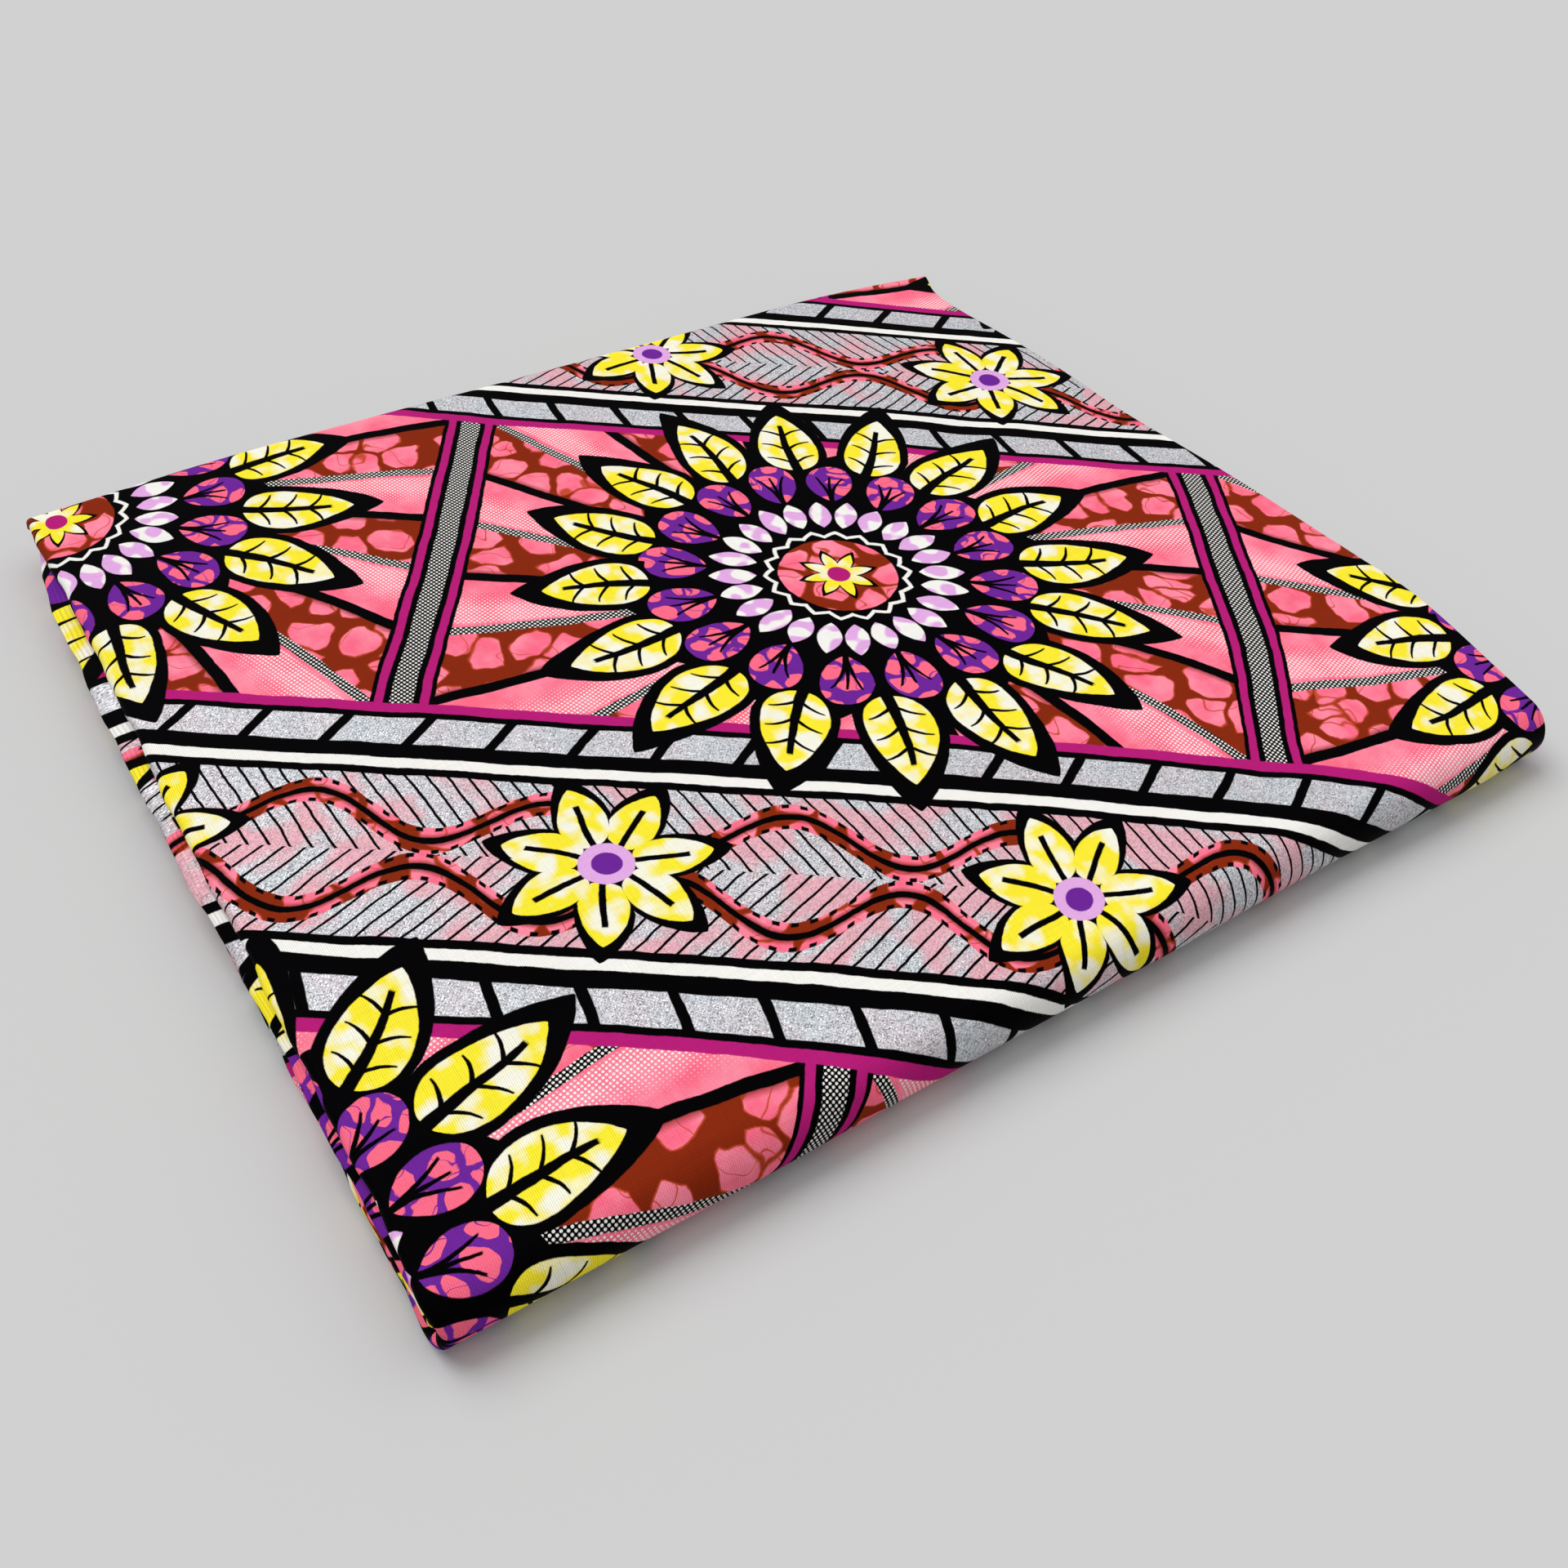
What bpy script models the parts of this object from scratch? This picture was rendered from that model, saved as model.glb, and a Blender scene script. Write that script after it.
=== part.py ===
# A folded length of wax-print cotton that lies flat: one cut of cloth, with nothing sewn.
# It is halved four times along its length and twice across its width, which makes 64 layers.
# Z is up, X runs along the selvedges and Y across them. The fat front fold is on the -Y side.
#
# From the bottom up the cloth runs pad A, front fold, pad B on top, back roll, pad C below B,
# inner front fold, pad D. Pads A and D end in the selvedges, at the back.

import math
from collections import namedtuple

import bmesh
import bpy
import numpy as np

# Driving dimensions, in metres
CUT_LENGTH = 5.486
CUT_WIDTH = 1.168
CLOTH = 0.000275
LENGTH_HALVINGS = 4
WIDTH_HALVINGS = 2
WALL = 0.001
GAP = 0.0003

# Sizes of the bundle that follow from them
HALF_LENGTH = CUT_LENGTH / 2**LENGTH_HALVINGS / 2
HALF_DEPTH = CUT_WIDTH / 2**WIDTH_HALVINGS / 2
STACK = CLOTH * 2 ** (LENGTH_HALVINGS + WIDTH_HALVINGS)
PAD_PITCH = (STACK + GAP) / 2**WIDTH_HALVINGS
PAD = PAD_PITCH - GAP
FRONT_RADIUS = STACK / 2
BACK_RADIUS = PAD + GAP / 2

# The outer layer's rolled ends: a bead along the left, a thinner one along the right
LEFT_BEAD = PAD
RIGHT_BEAD = PAD / 2
BEAD_RUN = 0.003
BEAD_RAMP = 0.002
COLUMN_CLEARANCE = 0.0012
BEAD_SHARE_AT_BACK = 0.72
BEAD_SHRINKS_OVER = 0.030
TAIL = 0.014
SELVEDGE_INSET = 0.0015

# Mean colours of the print, on the face and along the folded edges
PRINT_COLOUR = (0.80, 0.34, 0.36)
FOLD_COLOUR = (0.62, 0.30, 0.33)
COTTON_ROUGHNESS = 0.72

# How finely curves and flats are cut up
COLUMNS = 17
ROWS = 14
FRONT_STEPS = 10
BACK_STEPS = 6
TAIL_STEPS = 3
LEFT_BEAD_STEPS = 6
RIGHT_BEAD_STEPS = 4
ROLL_STEPS = 3
SNAP = 0.000001
SHARP_EDGE = math.radians(40)

# Folded layers at the right end, from the top down: how many lie in each roll, how far it sits in
Roll = namedtuple("Roll", "layers inset")
RIGHT_ROLLS = (
    Roll(8, 0.0000),
    Roll(4, 0.0008),
    Roll(2, 0.0016),
    Roll(2, 0.0030),
    Roll(2, 0.0022),
    Roll(2, 0.0012),
    Roll(4, 0.0006),
    Roll(8, 0.0002),
    Roll(8, 0.0005),
    Roll(4, 0.0011),
    Roll(2, 0.0020),
    Roll(2, 0.0028),
    Roll(2, 0.0032),
    Roll(2, 0.0018),
    Roll(4, 0.0009),
    Roll(8, 0.0000),
)

# Selvedges at the back of pads A and D, from the bottom up: how far each bunch sits in
SELVEDGE_INSETS = (0.0012, 0.0004, 0.0019, 0.0008, 0.0024, 0.0006, 0.0016)
SELVEDGE_SLOT = 0.0003
SELVEDGE_SLOT_DEPTH = 0.0045

# How far the folded edges stray outwards from a true rectangle, seen from above
Stray = namedtuple("Stray", "along out")
LEFT_EDGE = (
    Stray(-0.146, 0.0006),
    Stray(-0.110, -0.0008),
    Stray(-0.050, -0.0016),
    Stray(0.030, -0.0020),
    Stray(0.075, -0.0035),
    Stray(0.146, -0.0034),
)
RIGHT_EDGE = (
    Stray(-0.146, -0.0045),
    Stray(-0.120, 0.0004),
    Stray(-0.085, 0.0060),
    Stray(-0.050, 0.0038),
    Stray(-0.010, 0.0007),
    Stray(0.025, -0.0038),
    Stray(0.075, -0.0064),
    Stray(0.115, -0.0118),
    Stray(0.146, -0.0142),
)
FRONT_EDGE = (
    Stray(-0.171, 0.0003),
    Stray(-0.060, 0.0007),
    Stray(0.080, 0.0006),
    Stray(0.145, 0.0010),
    Stray(0.171, 0.0003),
)
BACK_EDGE = (
    Stray(-0.171, -0.0028),
    Stray(-0.120, -0.0004),
    Stray(-0.040, 0.0012),
    Stray(0.060, 0.0015),
    Stray(0.140, 0.0020),
    Stray(0.171, 0.0006),
)

# How far the rolls under the top one push out of the left end, and the share of it at each height
LOWER_ROLLS = (
    Stray(-0.146, -0.0006),
    Stray(-0.110, 0.0008),
    Stray(-0.040, 0.0016),
    Stray(0.030, 0.0026),
    Stray(0.075, 0.0030),
    Stray(0.115, 0.0026),
    Stray(0.132, 0.0012),
    Stray(0.146, -0.0020),
)
PUSH_BY_HEIGHT = (
    Stray(0, 1.00),
    Stray(PAD_PITCH, 1.00),
    Stray(2 * PAD_PITCH, 1.25),
    Stray(2.5 * PAD_PITCH, 1.50),
    Stray(3 * PAD_PITCH - GAP, 0.00),
)
PUSH_REACH = 0.060

# The stack is a little lower towards its ends and corners, swells along the front fold and
# waves softly. Heights are shares of the stack, places are shares of its half length or depth.
END_DROP = 0.030
CORNER_DROP = 0.030
DROP_STARTS_AT = 0.60
FRONT_SWELL = 0.015
SWELL_FULL_AT = 0.95
WAVE_HEIGHT = 0.010
WAVE_ALONG = 19
WAVE_ACROSS = 23
WAVE_SKEW = 9


def smooth_step(value):
    # 0 below 0, 1 above 1 and an even S between
    held = min(max(value, 0.0), 1.0)
    return held * held * (3 - 2 * held)


def stray_at(edge, along):
    # The smooth curve through an edge's rows, flat beyond its ends
    places = np.array([row.along for row in edge])
    values = np.array([row.out for row in edge])
    slopes = np.gradient(values, places)
    held = min(max(along, places[0]), places[-1])
    left = min(int(np.searchsorted(places, held, side="right")) - 1, len(edge) - 2)
    span = places[left + 1] - places[left]
    t = (held - places[left]) / span
    return (
        (1 + 2 * t) * (1 - t) ** 2 * values[left]
        + t * (1 - t) ** 2 * span * slopes[left]
        + t * t * (3 - 2 * t) * values[left + 1]
        - t * t * (1 - t) * span * slopes[left + 1]
    )


def height_share(x, y):
    # What a point's height is multiplied by, so the underside stays flat on z = 0
    drop_span = 1 - DROP_STARTS_AT
    end = smooth_step((abs(x) / HALF_LENGTH - DROP_STARTS_AT) / drop_span)
    corner = end * smooth_step((abs(y) / HALF_DEPTH - DROP_STARTS_AT) / drop_span)
    front = smooth_step((-y / HALF_DEPTH - DROP_STARTS_AT) / (SWELL_FULL_AT - DROP_STARTS_AT))
    wave = math.sin(WAVE_ALONG * x + WAVE_SKEW * y) * math.cos(WAVE_ACROSS * y - WAVE_SKEW * x)
    return 1 - END_DROP * end - CORNER_DROP * corner + FRONT_SWELL * front + WAVE_HEIGHT * wave


def settled(x, y, z):
    # Where a point of the straight, square stack lies in the bundle as it rests
    right_share = (x / HALF_LENGTH + 1) / 2
    back_share = (y / HALF_DEPTH + 1) / 2
    shift_x = right_share * stray_at(RIGHT_EDGE, y) - (1 - right_share) * stray_at(LEFT_EDGE, y)
    shift_y = back_share * stray_at(BACK_EDGE, x) - (1 - back_share) * stray_at(FRONT_EDGE, x)
    near_left = 1 - smooth_step((x + HALF_LENGTH) / PUSH_REACH)
    push = stray_at(LOWER_ROLLS, y) * stray_at(PUSH_BY_HEIGHT, z) * near_left
    return x + shift_x - push, y + shift_y, z * height_share(x, y)


def arc(centre, radius, start, end, steps):
    # Points of an arc between two angles in degrees, both ends included
    angles = np.radians(np.linspace(start, end, steps + 1))
    return [
        (centre[0] + radius * math.cos(angle), centre[1] + radius * math.sin(angle))
        for angle in angles
    ]


def column_places():
    # The X of each line of points across the flats
    inset = LEFT_BEAD / 2 + BEAD_RUN + BEAD_RAMP + COLUMN_CLEARANCE
    return list(np.linspace(-HALF_LENGTH + inset, HALF_LENGTH - inset, COLUMNS))


def row_places():
    # The Y of each line of points along the flats, between the front fold and the back roll
    return list(np.linspace(-HALF_DEPTH + FRONT_RADIUS, HALF_DEPTH - BACK_RADIUS, ROWS))


# A place on the outer layer's path: its outer face, the way in from it, and the bead's share there
Station = namedtuple("Station", "y z inward_y inward_z bead_share")


def outer_path(grow):
    # Underside, front fold, top, back roll and tail; grow lengthens both ends of the path
    rows = row_places()
    front_centre = (-HALF_DEPTH + FRONT_RADIUS, FRONT_RADIUS)
    back_centre = (HALF_DEPTH - BACK_RADIUS, STACK - BACK_RADIUS)
    path = [Station(HALF_DEPTH - SELVEDGE_INSET + grow, 0, 0, 1, 1)]
    path += [Station(y, 0, 0, 1, 1) for y in reversed(rows)]
    for y, z in arc(front_centre, FRONT_RADIUS, 270, 90, FRONT_STEPS)[1:-1]:
        inward_y = (front_centre[0] - y) / FRONT_RADIUS
        inward_z = (front_centre[1] - z) / FRONT_RADIUS
        path.append(Station(y, z, inward_y, inward_z, 1))
    for y in rows:
        shrunk = smooth_step(1 + (y - rows[-1]) / BEAD_SHRINKS_OVER)
        path.append(Station(y, STACK, 0, -1, 1 + (BEAD_SHARE_AT_BACK - 1) * shrunk))
    for y, z in arc(back_centre, BACK_RADIUS, 90, -90, BACK_STEPS)[1:]:
        inward_y = (back_centre[0] - y) / BACK_RADIUS
        inward_z = (back_centre[1] - z) / BACK_RADIUS
        path.append(Station(y, z, inward_y, inward_z, BEAD_SHARE_AT_BACK))
    for step in range(1, TAIL_STEPS + 1):
        y = back_centre[0] - (TAIL + grow) * step / TAIL_STEPS
        path.append(Station(y, STACK - 2 * BACK_RADIUS, 0, 1, BEAD_SHARE_AT_BACK))
    return path


def outer_ring(bead_share, grow):
    # The outer layer's cross-section as (x, depth under the outer face), thicker by grow all round
    left_radius = LEFT_BEAD * bead_share / 2
    right_radius = RIGHT_BEAD * bead_share / 2
    left_centre = (-HALF_LENGTH + left_radius, left_radius)
    right_centre = (HALF_LENGTH - right_radius, right_radius)
    left_run = -HALF_LENGTH + LEFT_BEAD / 2 + BEAD_RUN + grow
    right_run = HALF_LENGTH - RIGHT_BEAD / 2 - BEAD_RUN - grow
    columns = column_places()
    ring = [(x, -grow) for x in columns]
    ring += arc(right_centre, right_radius + grow, -90, 90, RIGHT_BEAD_STEPS)
    ring.append((right_run, 2 * right_radius + grow))
    ring.append((right_run - BEAD_RAMP, WALL + grow))
    ring += [(x, WALL + grow) for x in reversed(columns)]
    ring.append((left_run + BEAD_RAMP, WALL + grow))
    ring.append((left_run, 2 * left_radius + grow))
    ring += arc(left_centre, left_radius + grow, 90, 270, LEFT_BEAD_STEPS)
    return ring


def closed_mesh(name, rings):
    # A closed skin through rings of equally many points, with both ends capped
    mesh = bpy.data.meshes.new(name)
    work = bmesh.new()
    loops = [[work.verts.new(point) for point in ring] for ring in rings]
    for first, second in zip(loops, loops[1:]):
        for i, corner in enumerate(first):
            work.faces.new((corner, first[i - 1], second[i - 1], second[i]))
    work.faces.new(loops[0])
    work.faces.new(loops[-1])
    bmesh.ops.recalc_face_normals(work, faces=work.faces)
    work.to_mesh(mesh)
    work.free()
    return mesh


def outer_layer_mesh(name, grow):
    rings = []
    for station in outer_path(grow):
        ring = outer_ring(station.bead_share, grow)
        rings.append(
            [
                (x, station.y + depth * station.inward_y, station.z + depth * station.inward_z)
                for x, depth in ring
            ]
        )
    return closed_mesh(name, rings)


def end_profile():
    # The hidden layers seen from the front, as (x, z): two fat rolls left, many thin ones right
    left_flat = -HALF_LENGTH + LEFT_BEAD / 2
    profile = [(left_flat, STACK - WALL / 2)]
    for pad in (2, 1):
        middle = (left_flat, pad * PAD_PITCH + PAD / 2)
        profile += arc(middle, PAD / 2, 90, 270, LEFT_BEAD_STEPS)
    profile.append((left_flat, WALL / 2))
    low = WALL + GAP
    for index, roll in reversed(list(enumerate(RIGHT_ROLLS))[1:-1]):
        layers_above = sum(above.layers for above in RIGHT_ROLLS[:index])
        high = STACK - layers_above * STACK / sum(every.layers for every in RIGHT_ROLLS)
        radius = (high - low) / 2
        middle = (HALF_LENGTH - roll.inset - radius, low + radius)
        profile += arc(middle, radius, -90, 90, ROLL_STEPS)
        low = high
    right_flat = HALF_LENGTH - RIGHT_BEAD - BEAD_RUN
    profile.append((right_flat, low))
    profile.append((right_flat, STACK - WALL / 2))
    return profile


def side_profile():
    # The hidden layers seen from the left, as (y, z): round front, roll above and selvedges below.
    # Inside both folds they stop halfway through the outer layer's bead, which leaves some slack.
    front = (-HALF_DEPTH + FRONT_RADIUS, FRONT_RADIUS)
    back = (HALF_DEPTH - BACK_RADIUS, STACK - BACK_RADIUS)
    front_radius = FRONT_RADIUS - LEFT_BEAD / 2
    back_radius = BACK_RADIUS - LEFT_BEAD * BEAD_SHARE_AT_BACK / 2
    profile = [(front[0], STACK - WALL / 2)]
    profile += arc(front, front_radius, 90, 270, 2 * FRONT_STEPS)
    profile.append((front[0], WALL / 2))
    low = WALL + GAP
    high = STACK - 2 * BACK_RADIUS - GAP
    pages = len(SELVEDGE_INSETS)
    page = (high - low + SELVEDGE_SLOT) / pages - SELVEDGE_SLOT
    slot_end = HALF_DEPTH - SELVEDGE_SLOT_DEPTH
    profile.append((slot_end, WALL / 2))
    for index, inset in enumerate(SELVEDGE_INSETS):
        bottom = low + index * (page + SELVEDGE_SLOT)
        profile.append((slot_end, bottom))
        profile.append((HALF_DEPTH - inset, bottom))
        profile.append((HALF_DEPTH - inset, bottom + page))
        profile.append((slot_end, bottom + page))
    profile += arc(back, back_radius, -90, 90, 2 * BACK_STEPS)
    profile.append((back[0], STACK - WALL / 2))
    return profile


def prism_along_y(name, profile):
    reach = HALF_DEPTH + PAD
    return closed_mesh(name, [[(x, y, z) for x, z in profile] for y in (-reach, reach)])


def prism_along_x(name, profile):
    reach = HALF_LENGTH + PAD
    return closed_mesh(name, [[(x, y, z) for y, z in profile] for x in (-reach, reach)])


def cutter(name, mesh):
    obj = bpy.data.objects.new(name, mesh)
    bpy.context.collection.objects.link(obj)
    obj.hide_render = True
    obj.display_type = "WIRE"
    return obj


def hidden_layers_mesh(name):
    # Both profiles in common, less the space that the outer layer and its clearance take
    block = cutter("hidden_block", prism_along_y("hidden_block", end_profile()))
    for operation, tool in (
        ("INTERSECT", cutter("side_shape", prism_along_x("side_shape", side_profile()))),
        ("DIFFERENCE", cutter("outer_space", outer_layer_mesh("outer_space", GAP))),
    ):
        boolean = block.modifiers.new(operation.title(), "BOOLEAN")
        boolean.operation = operation
        boolean.object = tool
    bpy.context.view_layer.update()
    evaluated = block.evaluated_get(bpy.context.evaluated_depsgraph_get())
    mesh = bpy.data.meshes.new_from_object(evaluated)
    mesh.name = name
    for obj in list(bpy.context.collection.objects):
        if obj.hide_render:
            bpy.data.objects.remove(obj)
    return mesh


def cut_at_columns_and_rows(mesh):
    # Triangles with points on every column and row, so that neighbours bend alike
    work = bmesh.new()
    work.from_mesh(mesh)
    cuts = [((x, 0, 0), (1, 0, 0)) for x in column_places()]
    cuts += [((0, y, 0), (0, 1, 0)) for y in row_places()]
    for point, normal in cuts:
        whole = work.verts[:] + work.edges[:] + work.faces[:]
        bmesh.ops.bisect_plane(work, geom=whole, plane_co=point, plane_no=normal, dist=SNAP)
    bmesh.ops.triangulate(work, faces=work.faces)
    work.to_mesh(mesh)
    work.free()


def cloth_material(name, colour):
    material = bpy.data.materials.new(name)
    material.use_nodes = True
    shader = material.node_tree.nodes["Principled BSDF"]
    shader.inputs["Base Color"].default_value = (*colour, 1)
    shader.inputs["Roughness"].default_value = COTTON_ROUGHNESS
    shader.inputs["Metallic"].default_value = 0.0
    material.diffuse_color = (*colour, 1)
    return material


def place(name, mesh, material):
    # The finished object, bent from the square stack into the bundle's own shape
    cut_at_columns_and_rows(mesh)
    for vertex in mesh.vertices:
        vertex.co = settled(*vertex.co)
    mesh.materials.clear()
    mesh.materials.append(material)
    mesh.shade_smooth()
    mesh.set_sharp_from_angle(angle=SHARP_EDGE)
    obj = bpy.data.objects.new(name, mesh)
    bpy.context.collection.objects.link(obj)
    return obj


def centre_on_floor(objects):
    # Origin at the middle of the bounding box, on the underside
    points = np.array([vertex.co for obj in objects for vertex in obj.data.vertices])
    middle = (points.min(axis=0) + points.max(axis=0)) / 2
    middle[2] = points[:, 2].min()
    for obj in objects:
        for vertex in obj.data.vertices:
            vertex.co = [value - shift for value, shift in zip(vertex.co, middle)]


def build():
    for obj in list(bpy.data.objects):
        bpy.data.objects.remove(obj)
    hidden = hidden_layers_mesh("hidden_layers")
    outer = outer_layer_mesh("outer_layer", 0)
    objects = [
        place("outer_layer", outer, cloth_material("printed_cotton", PRINT_COLOUR)),
        place("hidden_layers", hidden, cloth_material("folded_cotton", FOLD_COLOUR)),
    ]
    centre_on_floor(objects)


build()
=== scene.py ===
# Folded length of wax-print cotton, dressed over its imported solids.
# Metres. X runs along the selvedges, Y from the fat front fold to the back roll, Z is up.
import math

import bpy
import numpy as np
from mathutils import Matrix


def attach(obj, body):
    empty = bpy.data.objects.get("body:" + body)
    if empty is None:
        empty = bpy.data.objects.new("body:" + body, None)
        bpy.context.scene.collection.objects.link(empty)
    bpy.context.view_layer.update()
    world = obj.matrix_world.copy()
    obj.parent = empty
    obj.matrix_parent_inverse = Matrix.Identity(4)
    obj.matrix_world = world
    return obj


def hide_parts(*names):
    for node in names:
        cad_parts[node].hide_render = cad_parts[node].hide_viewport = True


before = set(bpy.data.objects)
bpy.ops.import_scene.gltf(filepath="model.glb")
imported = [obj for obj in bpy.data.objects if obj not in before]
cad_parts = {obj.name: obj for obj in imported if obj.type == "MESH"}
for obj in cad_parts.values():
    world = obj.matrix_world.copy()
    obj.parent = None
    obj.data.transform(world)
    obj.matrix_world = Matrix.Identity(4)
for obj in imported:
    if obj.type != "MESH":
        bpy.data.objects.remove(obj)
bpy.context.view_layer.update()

# The whole folded stack. The edge tables are the solids' own, so the cloth lies on their form,
# but the lower rolls lie further in at the back left corner.
bundle = {
    "cutLength": 5.486,
    "cutWidth": 1.168,
    "layerPitch": 0.000275,
    "padGap": 0.0003,
    "shiftX": -0.001926,  # the solids' middle, measured from the square stack's
    "shiftY": -0.000603,
    "leftEdge": (
        (-0.146, 0.0006), (-0.110, -0.0008), (-0.050, -0.0016), (0.030, -0.0020),
        (0.075, -0.0035), (0.146, -0.0034),
    ),
    "rightEdge": (
        (-0.146, -0.0045), (-0.120, 0.0004), (-0.085, 0.0060), (-0.050, 0.0038),
        (-0.010, 0.0007), (0.025, -0.0038), (0.075, -0.0064), (0.115, -0.0118),
        (0.146, -0.0142),
    ),
    "frontEdge": (
        (-0.171, 0.0003), (-0.060, 0.0007), (0.080, 0.0006), (0.145, 0.0010), (0.171, 0.0003),
    ),
    "backEdge": (
        (-0.171, -0.0028), (-0.120, -0.0004), (-0.040, 0.0012), (0.060, 0.0015),
        (0.140, 0.0020), (0.171, 0.0006),
    ),
    "lowerRolls": (
        (-0.146, -0.0006), (-0.110, 0.0008), (-0.040, 0.0016), (0.030, 0.0026),
        (0.075, 0.0030), (0.115, 0.0022), (0.132, 0.0000), (0.146, -0.0038),
    ),
    "lowerRollReach": 0.060,
    "endDrop": 0.030,
    "cornerDrop": 0.030,
    "dropStartsAt": 0.60,
    "frontSwell": 0.015,
    "swellFullAt": 0.95,
    "waveHeight": 0.010,
    "waveAlong": 19,
    "waveAcross": 23,
    "waveSkew": 9,
    "lumpReach": 0.016,
    "rippleHeight": 0.00042,
    "rippleReach": 0.012,
    "selvedgeInset": 0.0015,
}

halfLength = bundle["cutLength"] / 32
halfDepth = bundle["cutWidth"] / 8
stack = bundle["layerPitch"] * 64
padPitch = (stack + bundle["padGap"]) / 4
pad = padPitch - bundle["padGap"]
frontRadius = stack / 2
backRadius = pad + bundle["padGap"] / 2
pushByHeight = (
    (0, 1.0), (padPitch, 1.0), (2 * padPitch, 1.25), (2.5 * padPitch, 1.5),
    (3 * padPitch - bundle["padGap"], 0.0),
)

# Soft creases across the top, in millimetres: from x, y to x, y, how wide, how high
topCreases = (
    (-158, -128, -96, -74, 7.0, -0.55),
    (-140, -138, -70, -112, 6.0, 0.35),
    (-166, -20, -118, 6, 8.0, 0.30),
    (-160, 52, -104, 84, 9.0, -0.45),
    (-150, 118, -84, 126, 7.0, 0.40),
    (-70, 96, -6, 132, 10.0, -0.35),
    (-40, -136, 34, -126, 6.0, -0.45),
    (-26, -92, 38, -30, 16.0, 0.30),
    (20, 124, 92, 134, 8.0, 0.50),
    (48, -138, 128, -118, 7.0, 0.45),
    (88, 34, 150, 78, 9.0, -0.55),
    (96, -16, 160, -34, 7.0, 0.50),
    (112, 104, 156, 62, 8.0, 0.45),
    (118, -66, 164, -92, 6.5, -0.60),
    (132, -110, 164, -132, 6.0, 0.35),
    (-10, 40, 70, 62, 18.0, -0.25),
)

# Lumps along the folded edges, in millimetres: edge, place along it, height, reach along it,
# reach in height, how far they stand out
edgeLumps = (
    ("left", -118, 13.0, 12, 3.0, -0.45),
    ("left", -62, 15.0, 18, 3.0, 0.30),
    ("left", -8, 11.0, 14, 2.6, 0.45),
    ("left", 46, 15.5, 12, 3.0, -0.35),
    ("left", 84, 6.0, 16, 3.5, 0.50),
    ("left", 120, 14.0, 9, 3.0, 0.40),
    ("front", -150, 12.0, 9, 4.0, 0.40),
    ("front", -96, 6.0, 20, 4.0, 0.35),
    ("front", -34, 12.0, 16, 5.0, -0.40),
    ("front", 30, 8.0, 22, 5.0, 0.45),
    ("front", 92, 13.0, 15, 4.0, -0.35),
    ("front", 148, 9.0, 12, 5.0, 0.45),
    ("right", -112, 12.0, 8, 4.0, 0.50),
    ("right", -70, 15.0, 9, 3.0, -0.60),
    ("right", -34, 9.0, 10, 4.0, 0.55),
    ("right", 12, 14.0, 12, 4.0, 0.60),
    ("right", 52, 6.0, 12, 4.0, -0.50),
    ("right", 96, 13.0, 11, 4.0, 0.60),
    ("right", 146, 16.0, 12, 7.0, 7.20),  # the top pad's corner flares out
    ("back", -140, 13.0, 12, 3.0, -0.50),
    ("back", -84, 11.0, 16, 3.0, 0.55),
    ("back", -22, 14.0, 14, 3.0, -0.40),
    ("back", 40, 12.0, 18, 3.0, 0.60),
    ("back", 104, 13.0, 14, 3.0, -0.55),
    ("back", 150, 11.0, 10, 3.0, 0.45),
    ("back", 171, 16.0, 9, 6.0, -1.60),
)


def smoothStep(value):
    held = np.clip(value, 0.0, 1.0)
    return held * held * (3 - 2 * held)


def strayAt(edge, along):
    # Smooth curve through an edge's rows, flat beyond its ends
    places, values = np.array(edge).T
    slopes = np.gradient(values, places)
    held = np.clip(along, places[0], places[-1])
    left = np.clip(np.searchsorted(places, held, side="right") - 1, 0, len(places) - 2)
    span = places[left + 1] - places[left]
    t = (held - places[left]) / span
    return (
        (1 + 2 * t) * (1 - t) ** 2 * values[left]
        + t * (1 - t) ** 2 * span * slopes[left]
        + t * t * (3 - 2 * t) * values[left + 1]
        - t * t * (1 - t) * span * slopes[left + 1]
    )


def heightShare(x, y):
    span = 1 - bundle["dropStartsAt"]
    end = smoothStep((abs(x) / halfLength - bundle["dropStartsAt"]) / span)
    corner = end * smoothStep((abs(y) / halfDepth - bundle["dropStartsAt"]) / span)
    swellSpan = bundle["swellFullAt"] - bundle["dropStartsAt"]
    front = smoothStep((-y / halfDepth - bundle["dropStartsAt"]) / swellSpan)
    skew = bundle["waveSkew"]
    wave = np.sin(bundle["waveAlong"] * x + skew * y) * np.cos(bundle["waveAcross"] * y - skew * x)
    drops = bundle["endDrop"] * end + bundle["cornerDrop"] * corner
    return 1 - drops + bundle["frontSwell"] * front + bundle["waveHeight"] * wave


def creaseLift(x, y):
    # Height that the soft creases add to the top, none at their own ends
    lift = np.zeros_like(x)
    for fromX, fromY, toX, toY, width, height in np.array(topCreases) / 1000:
        runX, runY = toX - fromX, toY - fromY
        length = math.hypot(runX, runY)
        along = ((x - fromX) * runX + (y - fromY) * runY) / length**2
        across = ((x - fromX) * runY - (y - fromY) * runX) / length
        across = across + 0.25 * width * np.sin(3.1 * along + 40 * fromX)  # never quite straight
        ends = smoothStep(1.6 * (0.5 - abs(along - 0.5)) + 0.4)
        lift += height * np.exp(-((across / width) ** 2)) * ends
    return lift


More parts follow.
